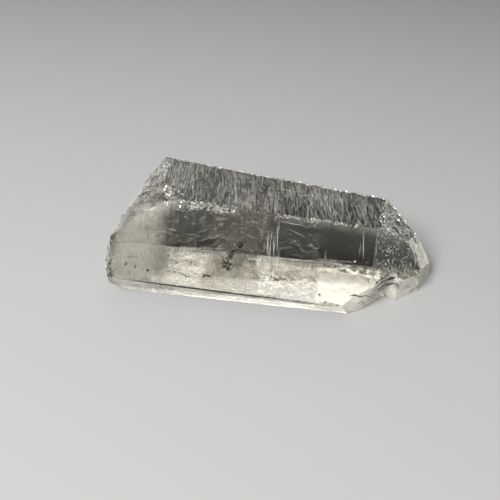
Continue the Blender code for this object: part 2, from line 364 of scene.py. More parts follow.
def mark_faces(bm):
    """Store what kind of surface each triangle is, and its finish."""
    home = growth_matrix().inverted()
    turn = home.to_3x3()
    planes = {n: (face_normal(n), FACES[n][2]) for n in FACES}
    layers = [bm.faces.layers.float.new(key) for key in FINISH_KEYS]
    kind = bm.faces.layers.float.new("kind")
    for face in bm.faces:
        name = kind_of(face, home, turn, planes)
        face[kind] = float(KINDS.index(name))
        for layer, value in zip(layers, (*FINISH[name], 1.0)):
            face[layer] = value


def new_object(name, data):
    """Object in the scene, at the origin."""
    made = bpy.data.objects.new(name, data)
    bpy.context.scene.collection.objects.link(made)
    return made


def new_piece(name, bm, material):
    """Mesh object made from a bmesh."""
    mesh = bpy.data.meshes.new(name)
    bm.to_mesh(mesh)
    bm.free()
    mesh.materials.append(material)
    return new_object(name, mesh)


def inside_face(tree):
    """1 where every triangle round a point is of one kind, 0 on the edges."""
    kind = face_value(tree, "kind")
    square = joined("GeometryNodeFieldOnDomain", {"Value": kind * kind},
                    data_type="FLOAT", domain="FACE")
    return summed("LESS_THAN", square - kind * kind, 0.01)


def new_tree(name, **numbers):
    """Geometry node tree with named number inputs. Returns these as fields too."""
    tree = bpy.data.node_groups.new(name, "GeometryNodeTree")
    for side in ("INPUT", "OUTPUT"):
        tree.interface.new_socket("Geometry", in_out=side,
                                  socket_type="NodeSocketGeometry")
    for key, value in numbers.items():
        kind = "NodeSocketInt" if isinstance(value, int) else "NodeSocketFloat"
        tree.interface.new_socket(key.replace("_", " ").capitalize(), in_out="INPUT",
                                  socket_type=kind).default_value = value
    start = tree.nodes.new("NodeGroupInput")
    return tree, {socket.name: Field(socket) for socket in start.outputs}


def finish_tree(tree, result, material):
    """Realize the instances, set the material and pass the result on."""
    result = joined("GeometryNodeRealizeInstances", {0: result})
    result = joined("GeometryNodeSetMaterial", {0: result, "Material": material})
    node(tree, "NodeGroupOutput", {0: result})
    return tree


def relief_tree(material, surface):
    """Geometry nodes: divide the crystal finely and raise its fine relief."""
    tree, given = new_tree(
        "fine_relief", refine=surface.refine, line_depth=surface.line_depth,
        etch_depth=surface.etch_depth, grain_depth=surface.grain_depth)
    place = here(tree)
    ladder = noise_at(stretched(place, 1.0, LINE_STRETCH), 1.0 / surface.line_spacing,
                      detail=1.5, shift=face_value(tree, "kind") * KIND_SHIFT)
    hillock = noise_at(place, 1.0 / surface.etch_size, detail=2.5)
    grain = noise_at(place, 1.0 / surface.grain_size, detail=3.0, rough=0.65)
    height = 0.0
    for key, wave, depth in (
            ("lines", ladder, "Line depth"), ("etch", hillock, "Etch depth"),
            ("grain", grain, "Grain depth")):
        height = face_value(tree, key) * wave * given[depth] + height
    offset = scaled(field(tree, "GeometryNodeInputNormal"), height * inside_face(tree))
    mesh = joined("GeometryNodeSubdivideMesh",
                  {"Mesh": given["Geometry"], "Level": given["Refine"]})
    mesh = joined("GeometryNodeSetPosition", {0: mesh, "Offset": offset})
    mesh = joined("GeometryNodeSetShadeSmooth", {0: mesh}, domain="FACE")
    angle = field(tree, "GeometryNodeInputMeshEdgeAngle", out="Unsigned Angle")
    steep = summed("GREATER_THAN", angle, surface.crisp_angle)
    mesh = joined("GeometryNodeSetShadeSmooth",
                  {0: mesh, "Selection": steep, "Shade Smooth": False}, domain="EDGE")
    return finish_tree(tree, mesh, material)


def random_field(seed, step, vector=False):
    """Random number from 0 to 1, or a vector from -1 to 1, for each point."""
    values = {"Seed": seed + float(step)}
    if vector:
        values.update({0: (-1.0, -1.0, -1.0), 1: (1.0, 1.0, 1.0)})
    return joined("FunctionNodeRandomValue", values, 0 if vector else 1,
                  data_type="FLOAT_VECTOR" if vector else "FLOAT")


def scatter_tree(name, material, share, chance, aim=None, limit=None,
                 corners=3, **sizes):
    """Geometry nodes: small flat crumbs scattered over a surface.

    share names the value on the surface that thins them. chance gives from the
    position how likely a crumb is to stay, from 0 to 1. aim gives the direction
    they lie along from the normal, and limit how long they may be. sizes are
    density, length, width, thickness, depth, spread, tilt, spin and seed.
    """
    tree, given = new_tree(name, **{"depth": 0.0, "spin": HALF_TURN, **sizes})
    seed = given["Seed"]
    scatter = node(tree, "GeometryNodeDistributePointsOnFaces", {
        "Mesh": given["Geometry"], "Seed": seed,
        "Density": face_value(tree, share) * given["Density"]},
        distribute_method="RANDOM")
    points, normal, turn = (Field(scatter.outputs[key])
                            for key in ("Points", "Normal", "Rotation"))
    drop = summed("GREATER_THAN", random_field(seed, 1), clamped(chance(here(tree))))
    points = joined("GeometryNodeDeleteGeometry", {0: points, "Selection": drop},
                    domain="POINT")
    depth = summed("MULTIPLY_ADD", random_field(seed, 2), 2.0, -1.0)
    depth = depth * given["Spread"] + given["Depth"]
    points = joined("GeometryNodeSetPosition",
                    {0: points, "Offset": scaled(normal, depth)})
    if aim:
        turn = joined("FunctionNodeAlignRotationToVector",
                      {"Rotation": turn, "Vector": aim(normal)},
                      axis="X", pivot_axis="Z")
    sway = vector_sum("MULTIPLY", random_field(seed, 3, vector=True),
                      three(given["Tilt"], given["Tilt"], given["Spin"]))
    sway = joined("FunctionNodeEulerToRotation", {0: sway})
    turn = joined("FunctionNodeRotateRotation", {0: turn, 1: sway},
                  rotation_space="LOCAL")
    size = [(random_field(seed, 4 + step) + 0.5) * given[key]
            for step, key in enumerate(("Length", "Width", "Thickness"))]
    if limit:
        size[0] = summed("MINIMUM", size[0], limit(here(tree)))
    crumb = field(tree, "GeometryNodeMeshCone", {
        "Vertices": corners, "Radius Top": 0.0, "Radius Bottom": 0.5, "Depth": 1.0})
    crumb = joined("GeometryNodeSetShadeSmooth", {0: crumb, "Shade Smooth": False},
                   domain="FACE")
    placed = joined("GeometryNodeInstanceOnPoints", {
        "Points": points, "Instance": crumb, "Rotation": turn, "Scale": three(*size)})
    return finish_tree(tree, placed, material)


def frozen(piece, tree):
    """Run a tree on a piece and keep the result as its plain mesh."""
    mod = piece.modifiers.new(tree.name, "NODES")
    mod.node_group = tree
    for item in tree.interface.items_tree:
        if item.in_out == "INPUT" and item.socket_type != "NodeSocketGeometry":
            mod[item.identifier] = item.default_value
    graph = bpy.context.evaluated_depsgraph_get()
    mesh = bpy.data.meshes.new_from_object(piece.evaluated_get(graph))
    piece.modifiers.remove(mod)
    old, piece.data = piece.data, mesh
    bpy.data.meshes.remove(old)
    mesh.name = piece.name
    return piece


# ---- Materials ----

QUARTZ_TONE = (0.99, 0.983, 0.955, 1.0)
PATCH_PER_METRE, PATCH_SHARE = 420.0, 0.7       # uneven frosting of the glass
LEAST_ROUGH = 0.015             # roughness of a polished grown face
LINE_ROUGH = 0.9                # how far a fine line roughens the glass
GRAIN_PER_METRE = 5200.0        # finest grain of broken places
GRAIN_GAIN = 2.2                # and its height beside the lines
FILM_MOST = 0.95                # opacity of a veil where it is thickest

# Patches of a white or dark material: per metre, swing and level of brightness.
FROST_SPECKLE = (700.0, 0.18, 0.92)
FLAW_SPECKLE = (900.0, 0.25, 0.9)


def new_material(name, values):
    """Material with its shader's inputs. Returns its tree and its shader too."""
    mat = bpy.data.materials.new(name)
    mat.use_nodes = True
    shader = mat.node_tree.nodes["Principled BSDF"]
    feed(shader, values)
    return mat, mat.node_tree, shader


def own_place(tree):
    """Position in the piece's own frame."""
    return field(tree, "ShaderNodeTexCoord", out="Object")


def attribute(tree, name):
    """Value stored on the mesh."""
    return field(tree, "ShaderNodeAttribute", out="Fac", attribute_name=name)


def quartz_material(glass, surface):
    """Clear quartz: frosted where etched or broken, finely lined elsewhere."""
    mat, tree, shader = new_material("clear_quartz", {
        "Base Color": QUARTZ_TONE, "IOR": glass.ior, "Transmission Weight": 1.0})
    place = own_place(tree)
    uneven = noise_at(place, PATCH_PER_METRE, detail=3.0) * PATCH_SHARE + 1.0
    frost = attribute(tree, "frost") * uneven
    fine = noise_at(stretched(place, 1.0, FINE_STRETCH), 1.0 / surface.line_spacing * 2.0)
    ladder = fine * attribute(tree, "lines")
    streak = summed("MAXIMUM", ladder, 0.0) * LINE_ROUGH
    grain = noise_at(place, GRAIN_PER_METRE) * attribute(tree, "grain") * GRAIN_GAIN
    bump = joined("ShaderNodeBump", {"Height": ladder + grain, "Strength": 0.5,
                                     "Distance": surface.fine_depth})
    feed(shader, {"Roughness": summed("MAXIMUM", frost + streak, LEAST_ROUGH),
                  "Normal": bump})
    depth = field(tree, "ShaderNodeVolumeAbsorption", {
        "Color": (*glass.tint, 1.0), "Density": glass.density})
    feed(tree.nodes["Material Output"], {"Volume": depth})
    return mat


def speckled(name, colour, scale, swing, level, values):
    """Opaque material whose brightness swings about a level in small patches."""
    mat, tree, shader = new_material(name, values)
    shade = summed("MULTIPLY_ADD", noise_at(own_place(tree), scale), swing, level)
    feed(shader, {"Base Color": scaled(tuple(colour), shade)})
    return mat


def frost_material(flaws, name="frost_white", metal=0.0, roughness=0.45):
    """White crumbs of crushed quartz, which sparkle where they mirror light. The same
    white paints the glints, highlights painted on the growth lines.
    """
    return speckled(name, flaws.frost_and_glint_colour, *FROST_SPECKLE,
                    {"Metallic": metal, "Roughness": roughness, "IOR": QUARTZ_IOR})


def flaw_material(name, colour, roughness, metal=1.0):
    """Flaws inside: cracks mirror the light, dark specks take it in."""
    return speckled(name, colour, *FLAW_SPECKLE,
                    {"Metallic": metal, "Roughness": roughness})


def veil_material(name, colour, opacity, patchy, scale, rough):
    """Thin milky film, thicker and thinner in patches along the crystal."""
    mat, tree, shader = new_material(name, {
        "Base Color": (*colour, 1.0), "Metallic": 1.0, "Roughness": rough})
    place = stretched(own_place(tree), PATCH_STRETCH, 1.0)
    film = noise_at(place, scale, detail=3.0, rough=0.6) * patchy + (0.8 - 0.3 * patchy)
    film = film + noise_at(place, scale * 4.0) * (patchy * 0.6)
    film = summed("MAXIMUM", film, 0.0) * opacity * attribute(tree, "film")
    feed(shader, {"Alpha": summed("MINIMUM", film, FILM_MOST)})
    return mat


def floor_material(light):
    """Plain pale floor."""
    return new_material("pale_floor", {
        "Base Color": (*light.floor_colour, 1.0), "Roughness": 0.7})[0]


# ---- Flaws ----

# Bruised lengths of edges, and the top back edge, where splinters paint a highlight all
# along the top outline: the two faces, from and to (mm along X), half width (mm) and how
# much of it is crushed.
BRUISES_AND_RIM_HIGHLIGHT = (
    ("A", "B", -18.5, -15.5, 1.0, 0.6),
    ("A", "B", -16.0, -2.6, 1.05, 1.2),
    ("A", "B", -2.6, 4.0, 0.12, 0.4),
    ("A", "B", 4.0, 9.5, 0.42, 1.4),
    ("A", "B", 9.5, 13.2, 0.6, 1.6),
    ("A", "B", 13.2, 20.0, 0.42, 1.2),
    # Painted highlight: splinters all along the top back edge draw the bright line of the
    # top outline.
    ("A", "F", -21.0, 26.0, 0.55, 2.0),
    ("A", "rA", 20.0, 30.0, 0.5, 0.7),
    ("rA", "rF", 22.0, 36.0, 0.5, 1.2),
    ("rA", "rB", 20.0, 36.0, 0.25, 0.7),
    ("B", "C", -30.0, 20.0, 0.08, 0.3),
    ("B", "C", 11.5, 19.5, 0.45, 0.8),
)

# Bruised spots, and one spot of painted highlight: middle and reach (mm), and how much of
# it is crushed.
SPOTS_AND_GLINT = (
    ((-21.3, 7.6, 19.3), 1.0, 3.5),
    ((-18.3, -1.3, 19.1), 1.2, 1.2),
    ((-17.2, -2.9, 19.0), 1.2, 1.2),
    ((-16.1, -4.5, 18.9), 1.2, 1.2),
    ((-14.4, -5.5, 18.7), 0.8, 1.2),
    ((12.2, -4.5, 16.6), 0.5, 1.2),
    # Painted highlight: splinters where the point glints near its top.
    ((27.4, 4.7, 13.7), 0.45, 2.5),
    ((32.2, 0.7, 7.2), 0.45, 2.0),
    ((22.6, -8.0, 3.3), 2.0, 0.4),
    ((25.4, -5.6, 4.6), 1.6, 0.35),
    ((-27.5, -11.2, 11.6), 1.2, 1.2),
    ((-27.7, -12.6, 9.0), 1.3, 1.2),
    ((-27.6, -13.8, 6.8), 1.2, 1.2),
)

FAR = 1.0                       # farther than any place on the crystal (m)
BRUISE_SOFT = 0.8               # mm over which a bruised length fades out
SPOT_SOFT = 0.5                 # share of its width over which a bruise fades out

# Patches of splinters, of frost and of glints painted on the growth lines as highlights:
# patches per metre, detail, swing and middle of the chance.
BRUISE_CLUMPS = (1700.0, 2.0, 2.4, 0.55)
FROST_PATCHES = (520.0, 3.0, 1.5, 0.55)
LINE_BANDS = (330.0, 2.0, 1.3, 0.6)

# Growth lines: how far their bands are drawn out across the crystal, their slope
# on the top face, where they start to thin out towards the point (m), how fast
# (per metre), and the share that stays.
BAND_STRETCH = 0.25
TOP_ASKEW = -0.22
THIN_FROM = 0.003
THIN_RATE = 28.0
THIN_LEAST = 0.68

# Smooth place on the left of the top face: how far down from the front edge and
# how far along X it reaches, each with its margin (m), and the share missing.
SMOOTH_LOW = (0.0012, 0.0016)
SMOOTH_LEFT = (0.002, 0.006)
SMOOTH_SHARE = 0.85

# Lengths of the front face with glints painted on its growth lines as highlights: from
# and to (mm along X) and how many. They fade out over LINES_SOFT.
LINES_SOFT = 0.6
FRONT_LINES = (
    (-26.0, -19.0, 0.75),
    (-19.0, -8.0, 0.05),
    (1.6, 5.6, 2.2),
    (5.6, 11.0, 0.03),
    (11.0, 21.5, 0.1),
)

# Healed cracks and veils through the crystal: plane (three points in mm, or a
# face and the depth under it), how milky, how patchy, patches per metre, how
# rough, its reach along X, over how much of that it fades, and its reach along
# Z (mm).
UNDER = ((-14.0, -6.5, 0.3), (9.0, -6.5, 0.3), (-10.0, -3.5, 4.43))
VEILS = (
    ("veil_fog", ((-9.0, -12.5, 3.6), (-5.4, -5.9, 16.6), (1.0, 0.2, 3.1)),
     0.82, 1.0, 700.0, 0.6, (-12.0, 4.5), 4.0, (5.0, 22.0)),
    ("veil_column", ("B", 3.2), 0.14, 2.4, 1000.0, 0.6, (10.0, 13.0), 1.4, (-2.0, 22.0)),
    ("veil_back", ("E", 0.8), 0.15, 3.4, 1200.0, 0.6, (-24.0, 13.0), 5.0, (-2.0, 22.0)),
    ("veil_front", ("B", 1.8), 0.15, 5.0, 1500.0, 0.6, (-19.5, 3.0), 3.0, (5.6, 22.0)),
    ("veil_root", UNDER, 0.88, 0.9, 900.0, 0.56, (-19.6, -4.5), 5.0, (-1.0, 5.5)),
    ("veil_mist", UNDER, 0.66, 0.9, 700.0, 0.64, (-11.0, 2.2), 3.0, (-1.0, 5.6)),
    ("veil_middle", UNDER, 0.72, 0.7, 800.0, 0.58, (0.0, 13.9), 1.0, (3.6, 6.0)),
    ("veil_sugar", UNDER, 0.94, 2.0, 1700.0, 0.5, (0.6, 13.9), 1.2, (-1.0, 4.4)),
    ("veil_streak", UNDER, 0.93, 1.3, 900.0, 0.4, (12.4, 24.0), 0.8, (4.9, 6.5)),
    ("veil_end", UNDER, 0.86, 0.4, 420.0, 0.6, (12.4, 23.0), 0.8, (3.6, 5.6)),
    ("veil_bright", UNDER, 0.8, 0.4, 500.0, 0.47, (12.4, 27.5), 0.8, (-1.0, 4.5)),
)

# Milky root: depths of its layers under the front face (mm), how milky each one
# is, their reach along X and over how much of that they fade (mm).
ROOT_DEPTHS = (1.2, 2.6, 4.2, 6.0, 8.5, 11.5)
ROOT_MILK = 0.13
ROOT_REACH = (-60.0, -17.2)
ROOT_FADE = 4.5

FILM_THICK = 0.00002
FILM_SOFT = 0.5                 # mm over which a film fades out along Z
FRONT_SOFT = 3.0                # mm under the front face where it starts
FILM_SHARE = 0.965              # size of a film beside the cut it fills
FILM_WELD = 0.00002             # corners closer than this become one
FILM_STEP = 0.0006              # longest edge in a film,
FILM_ROUNDS = 4                 # which takes this many divisions at most
FILM_GAP = 0.00006              # between films that share a plane

THREAD_STEPS = 12
THREAD_TAPER = 3.0              # a thread has its full width a third of the way in
THREAD_RING = (0.0, 2.094, 4.189)       # its three corners (rad)

# Bright threads at the surface: points (mm) and width (mm).
THREADS = (
    (((5.05, -5.09, 16.78), (7.72, -5.03, 16.42), (10.18, -4.91, 16.23)), 0.12),
    (((6.5, -5.57, 15.7), (8.46, -5.78, 14.98), (10.43, -6.01, 14.27)), 0.09),
    (((2.41, 5.41, 17.85), (4.08, 5.27, 17.77), (5.72, 5.2, 17.66), (7.33, 5.36, 17.53)),
     0.1),
    (((20.52, -3.87, 16.29), (20.97, -5.31, 13.71), (21.26, -6.88, 10.94)), 0.06),
    (((2.9, -5.81, 15.82), (3.39, -8.03, 11.87), (3.99, -10.37, 7.74)), 0.07),
    (((3.69, -5.9, 15.53), (3.76, -7.99, 11.89), (4.28, -10.33, 7.76)), 0.06),
    (((4.05, -6.63, 14.23), (4.64, -8.46, 10.95)), 0.06),
    (((4.65, -6.74, 13.94), (4.39, -9.07, 9.94)), 0.05),
    (((4.72, -5.59, 15.92), (5.28, -8.27, 11.15)), 0.05),
    (((4.64, -8.46, 10.95), (5.15, -9.91, 8.3)), 0.05),
)

# Dark cracks in the surface: points (mm) and width (mm), and how far they are
# set out in front of the frost (mm).
CRACK_LIFT = (0.01, -0.09, 0.06)
CRACKS = (
    (((-26.9, -11.0, 11.4), (-23.5, -10.4, 11.7), (-20.4, -10.15, 11.8)), 0.06),
    (((-25.8, -12.3, 8.9), (-23.0, -11.9, 9.1), (-20.3, -11.6, 9.3)), 0.06),
    (((23.5, -8.4, 6.1), (24.17, -7.65, 6.9), (25.03, -6.64, 7.22),
      (26.29, -5.4, 7.33)), 0.2),
    (((24.5, -6.07, 3.64), (25.48, -5.53, 4.87), (26.53, -4.33, 5.35)), 0.18),
    (((23.62, -7.08, 3.3), (24.79, -5.28, 2.56)), 0.16),
    (((23.86, -7.52, 5.17), (24.45, -7.13, 5.94), (25.11, -6.79, 6.65),
      (26.23, -5.18, 6.31), (27.45, -3.77, 5.91)), 0.26),
    (((26.0, -5.6, 6.4), (26.9, -4.5, 6.1), (27.45, -3.77, 5.91), (28.44, -3.9, 6.62)),
     0.6),
    (((23.56, -7.66, 4.76), (24.39, -6.71, 4.75), (25.52, -5.11, 4.27),
      (26.97, -3.38, 3.99)), 0.2),
    (((25.52, -5.11, 4.27), (26.97, -3.38, 3.99), (27.99, -3.79, 4.6)), 0.34),
    (((24.15, -6.42, 3.49), (25.24, -5.17, 3.55), (26.81, -3.13, 2.97)), 0.12),
    (((19.4, -10.4, 5.4), (20.54, -10.08, 5.42), (21.7, -9.29, 4.62),
      (22.62, -8.54, 4.42)), 0.42),
    (((21.7, -9.29, 4.62), (22.62, -8.54, 4.42), (23.67, -6.8, 2.83),
      (24.57, -4.8, 0.99)), 0.22),
    (((21.16, -8.83, 2.22), (21.67, -8.61, 2.7), (22.32, -8.43, 3.29)), 0.14),
    (((21.95, -8.01, 1.51), (22.98, -7.39, 2.31)), 0.1),
    (((-14.0, -12.1, 6.8), (-12.9, -12.0, 6.75), (-11.5, -12.2, 6.2)), 0.2),
    (((-8.6, -11.8, 6.4), (-7.7, -11.4, 6.9)), 0.24),
)

# Painted shade: dark lines along an edge, standing in for the shade seen just under it:
# the two faces, from and to (mm along the axis of growth), how far below the edge on the
# second face (mm) and width (mm).
EDGE_SHADE_LINES = (
    ("B", "C", -25.5, 18.0, 0.2, 0.22),
    ("B", "C", -22.0, 16.5, 0.46, 0.18),
    ("B", "C", -20.0, 12.0, 0.68, 0.14),
    ("B", "C", -14.0, 4.0, 0.88, 0.08),
)

CRUMB_SHARE = (0.25, 1.0)       # least and greatest side of a splinter by its size
SPECK_SIZE = 0.00035
SPARK_SIZE = 0.00025
LINE_CRUMB = 0.00024

# Dark specks inside: middle (mm), half size (mm) and how many, and how far they
# are all set in under the front face (mm).
SPECK_SINK = (0.0, 0.26, -0.15)
SPECK_COVER = 0.00020           # least depth of a speck under the front face
SPECKS = (
    ((-4.4, -9.7, 8.8), (1.0, 0.5, 1.5), 60),
    ((-3.6, -8.8, 10.4), (0.9, 0.5, 1.1), 36),
    ((-2.2, -7.7, 11.9), (0.8, 0.4, 0.7), 30),
    ((-8.2, -11.2, 6.2), (0.9, 0.2, 0.3), 14),
    ((-14.2, -11.8, 6.7), (0.35, 0.2, 0.2), 4),
    ((-12.0, -11.9, 6.0), (0.6, 0.2, 0.25), 5),
    ((-19.7, -12.2, 6.7), (0.25, 0.2, 0.25), 3),
    ((-22.2, -12.2, 7.0), (0.2, 0.2, 0.2), 2),
    ((-15.7, -10.7, 9.6), (0.35, 0.2, 0.2), 5),
    ((-14.2, -11.2, 8.4), (0.3, 0.2, 0.25), 5),
    ((-24.2, -12.6, 7.6), (0.3, 0.2, 0.3), 4),
    ((13.9, -11.0, 4.9), (0.5, 0.15, 0.6), 9),
    ((15.3, -11.5, 3.8), (1.0, 0.12, 0.25), 9),
    ((17.0, -11.45, 3.6), (0.9, 0.12, 0.2), 5),
    ((17.5, -7.85, 9.85), (2.6, 0.12, 0.16), 12),
)

# Bright sparks inside: middle (mm), half size (mm) and how many.
SPARKS = (
    ((-12.9, -7.8, 13.6), (0.15, 0.1, 0.15), 3),
    ((-18.1, -8.9, 12.7), (0.25, 0.1, 0.1), 3),
    ((-5.4, -8.6, 11.9), (0.9, 0.2, 0.4), 12),
    ((1.0, -9.0, 10.2), (1.3, 0.2, 0.35), 14),
    ((-18.9, -10.6, 11.6), (0.5, 0.2, 0.3), 7),
    ((-7.9, -7.4, 13.6), (0.7, 0.3, 0.5), 8),
    ((22.2, -6.2, 10.6), (0.4, 0.2, 0.25), 6),
)

# Lines of bright crumbs at the surface: from and to (mm) and how many clouds,
# each with its half size (mm) and number of crumbs.
LINE_CLOUD = ((0.35, 0.02, 0.12), 2)
SPARK_LINES = (
    ((-18.92, -10.66, 11.14), (-5.35, -9.1, 11.57), 34),
    ((-17.0, -10.6, 10.9), (-10.55, -9.8, 11.2), 10),
    ((0.17, -9.33, 10.2), (3.03, -9.07, 10.21), 9),
    ((5.24, -8.56, 10.65), (12.98, -7.93, 10.43), 18),
    ((12.8, -7.8, 10.9), (19.8, -7.06, 10.85), 14),
)


def plane_of(name):
    """Outward normal of one face and its distance from the origin (m)."""
    place = growth_matrix()
    out = (place.to_3x3() @ face_normal(name)).normalized()
    return out, FACES[name][2] * MM + out.dot(place.translation)


def edge_depth(place, first, second):
    """How far a place on the surface is from the edge of two faces (m)."""
    total = 0.0
    for name in (first, second):
        out, distance = plane_of(name)
        total = distance - vector_sum("DOT_PRODUCT", place, tuple(out)) + total
    return total


def patches(place, scale, detail, gain, middle):
    """Chance that swings about a middle value in patches."""
    return noise_at(place, scale, detail) * gain + middle


def bruised(place):
    """Chance of a splinter: crushed lengths of edges and crushed spots, and a painted
    highlight along the top outline and at the point.
    """
    reach = along_x(place)
    total = 0.0
    for first, second, low, high, half, share in BRUISES_AND_RIM_HIGHLIGHT:
        depth = edge_depth(place, first, second)
        near = window(depth, -FAR, half * MM, half * SPOT_SOFT * MM)
        part = window(reach, low * MM, high * MM, BRUISE_SOFT * MM)
        total = summed("MAXIMUM", near * part * share, total)
    for middle, radius, share in SPOTS_AND_GLINT:
        away = vector_sum("DISTANCE", place, tuple(Vector(middle) * MM))
        near = window(away, -FAR, radius * MM, radius * SPOT_SOFT * MM)
        total = summed("MAXIMUM", near * share, total)
    return total * patches(place, *BRUISE_CLUMPS)


def patchy(place):
    """Chance of a crumb of frost: patches drawn out along the crystal."""
    return patches(stretched(place, PATCH_STRETCH, 1.0), *FROST_PATCHES)


def banded(place):
    """Chance of a painted highlight on a growth line: bands across the crystal, few on
    the front.
    """
    broad = patches(stretched(place, 1.0, BAND_STRETCH), *LINE_BANDS)
    reach = along_x(place)
    fewer = 1.0 - summed("MAXIMUM", reach - THIN_FROM, 0.0) * THIN_RATE
    broad = broad * summed("MAXIMUM", fewer, THIN_LEAST)
    low_down = window(edge_depth(place, "A", "B"), -FAR, *SMOOTH_LOW)
    smooth = low_down * window(reach, -FAR, *SMOOTH_LEFT) * SMOOTH_SHARE
    broad = broad * (1.0 - smooth)
    total = 0.0
    for low, high, share in FRONT_LINES:
        part = window(reach, low * MM, high * MM, LINES_SOFT * MM)
        total = summed("MAXIMUM", part * share, total)
    front = of_kind(place.tree, "B")
    return front * total + (1.0 - front) * broad


def across_growth(normal):
    """Direction of the growth lines: across the crystal, a little askew on top."""
    axis = growth_axis()
    askew = scaled(axis, of_kind(normal.tree, "A") * TOP_ASKEW)
    return vector_sum("ADD", vector_sum("CROSS_PRODUCT", normal, axis), askew)


def room_to_edge(place):
    """Length that a line across the crystal has before the nearest edge (m)."""
    ring = "ABCDEF"
    least = FAR
    for first, second in zip(ring, ring[1:] + ring[:1]):
        least = summed("MINIMUM", edge_depth(place, first, second), least)
    return summed("MAXIMUM", least, 0.0) * 2.0


def finished(piece):
    """Ride the piece on the crystal's body."""
    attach(piece, BODY)


def scattered(name, tree):
    """Scatter over a copy of the crystal's surface and keep what comes out."""
    made = new_object(name, bpy.data.objects["crystal"].data.copy())
    finished(frozen(made, tree))


def film_plane(where):
    """Point and normal of a film's plane."""
    if isinstance(where[0], str):
        out, distance = plane_of(where[0])
        return out * (distance - where[1] * MM), out
    first, second, third = (Vector(corner) * MM for corner in where)
    return first, (second - first).cross(third - first).normalized()


def film_slice(point, out, reach_x, fade, reach_z=(-90.0, 90.0)):
    """Thin closed slice through the crystal, a little short of its surface."""
    bm = merged_copy(NODE)
    whole = bm.verts[:] + bm.edges[:] + bm.faces[:]
    bmesh.ops.bisect_plane(bm, geom=whole, plane_co=point, plane_no=out,
                           clear_inner=True, clear_outer=True)
    bmesh.ops.remove_doubles(bm, verts=bm.verts, dist=FILM_WELD)
    bmesh.ops.triangle_fill(bm, use_beauty=True, edges=bm.edges[:], normal=out)
    middle = sum((v.co for v in bm.verts), Vector()) / max(len(bm.verts), 1)
    for v in bm.verts:
        v.co = middle + (v.co - middle) * FILM_SHARE
    for _ in range(FILM_ROUNDS):
        long = [e for e in bm.edges if e.calc_length() > FILM_STEP]
        bmesh.ops.subdivide_edges(bm, edges=long, cuts=1)
        bmesh.ops.triangulate(bm, faces=bm.faces[:])
    film = bm.verts.layers.float.new("film")
    front, distance = plane_of("B")
    for v in bm.verts:
        part = (distance - front.dot(v.co)) / (FRONT_SOFT * MM)
        for at, (low, high), soft in ((v.co.x / MM, reach_x, fade),
                                      (v.co.z / MM, reach_z, FILM_SOFT)):
            part = min(part, (at - low) / soft, (high - at) / soft)
        v[film] = min(max(part, 0.0), 1.0)
    empty = [f for f in bm.faces if not any(v[film] for v in f.verts)]
    bmesh.ops.delete(bm, geom=empty, context="FACES")
    made = bmesh.ops.extrude_face_region(bm, geom=bm.faces[:])
    verts = [g for g in made["geom"] if isinstance(g, bmesh.types.BMVert)]
    bmesh.ops.translate(bm, vec=out * FILM_THICK, verts=verts)
    bmesh.ops.recalc_face_normals(bm, faces=bm.faces)
    return bm


def thread(bm, points, width):
    """Closed thread tapering to both ends."""
    points = [Vector(p) * MM for p in points]
    path = []
    for i in range(THREAD_STEPS + 1):
        t = i / THREAD_STEPS * (len(points) - 1)
        k = min(int(t), len(points) - 2)
        path.append(points[k].lerp(points[k + 1], t - k))
    rings = []
    for i, at in enumerate(path[1:-1], 1):
        way = (path[i + 1] - path[i - 1]).normalized()
        side = way.cross(Vector((0.0, 0.6, 0.8))).normalized()
        up = side.cross(way)
        wide = width * MM * 0.5 * min(
            1.0, THREAD_TAPER * min(i, THREAD_STEPS - i) / THREAD_STEPS)
        rings.append([bm.verts.new(at + (side * math.cos(a) + up * math.sin(a)) * wide)
                      for a in THREAD_RING])
    for low, high in zip(rings, rings[1:]):
        for k in range(3):
            bm.faces.new((low[k], low[(k + 1) % 3], high[(k + 1) % 3], high[k]))
    for ring, tip in ((rings[0][::-1], path[0]), (rings[-1], path[-1])):
        end = bm.verts.new(tip)
        for k in range(3):
            bm.faces.new((ring[k], ring[(k + 1) % 3], end))


def beside_edge(first, second, reach, offset):
    """Point (mm) on a face, a little away from its edge with another face."""
    one, two = face_normal(first), face_normal(second)
    away = -(one - two * one.dot(two)).normalized()
    rows = Matrix((one, two, (1.0, 0.0, 0.0)))
    on_edge = rows.inverted() @ Vector((FACES[first][2], FACES[second][2], reach))
    return growth_matrix() @ ((on_edge + away * offset) * MM) / MM


def crumb(bm, at, size, chance):
    """Closed splinter with four faces, turned at random."""
    turn = Matrix.Rotation(chance.uniform(0.0, FULL_TURN), 3, Vector(
        [chance.gauss(0.0, 1.0) for _ in range(3)]).normalized())
    scale = Vector([chance.uniform(*CRUMB_SHARE) for _ in range(3)]) * size * 0.5
    verts = [bm.verts.new(at + turn @ Vector([c[i] * scale[i] for i in range(3)]))
             for c in ((1, 1, 1), (1, -1, -1), (-1, 1, -1), (-1, -1, 1))]
    for a, b, c in ((0, 1, 2), (0, 3, 1), (0, 2, 3), (1, 3, 2)):
        bm.faces.new((verts[a], verts[b], verts[c]))


def along_line(start, end, count):
    """Small clouds of crumbs set along a line."""
    return [(Vector(start).lerp(Vector(end), i / (count - 1)), *LINE_CLOUD)
            for i in range(count)]


def crumb_clouds(clouds, size, seed, cover=-0.01):
    """Mesh of splinters gathered in clouds, all at least cover under the front."""
    chance = random.Random(seed)
    front, distance = plane_of("B")
    bm = bmesh.new()
    for middle, half, count in clouds:
        for _ in range(count):
            at = Vector([m + h * chance.gauss(0.0, 0.5) for m, h in zip(middle, half)])
            at *= MM
            at -= front * max(front.dot(at) + cover - distance, 0.0)
            crumb(bm, at, size * chance.uniform(0.5, 1.5), chance)
    bmesh.ops.recalc_face_normals(bm, faces=bm.faces)
    return bm


# ---- Stage ----

AIR_GAP = 0.0001                # air left under the face it lies on
FLOOR_HALF = 2.0

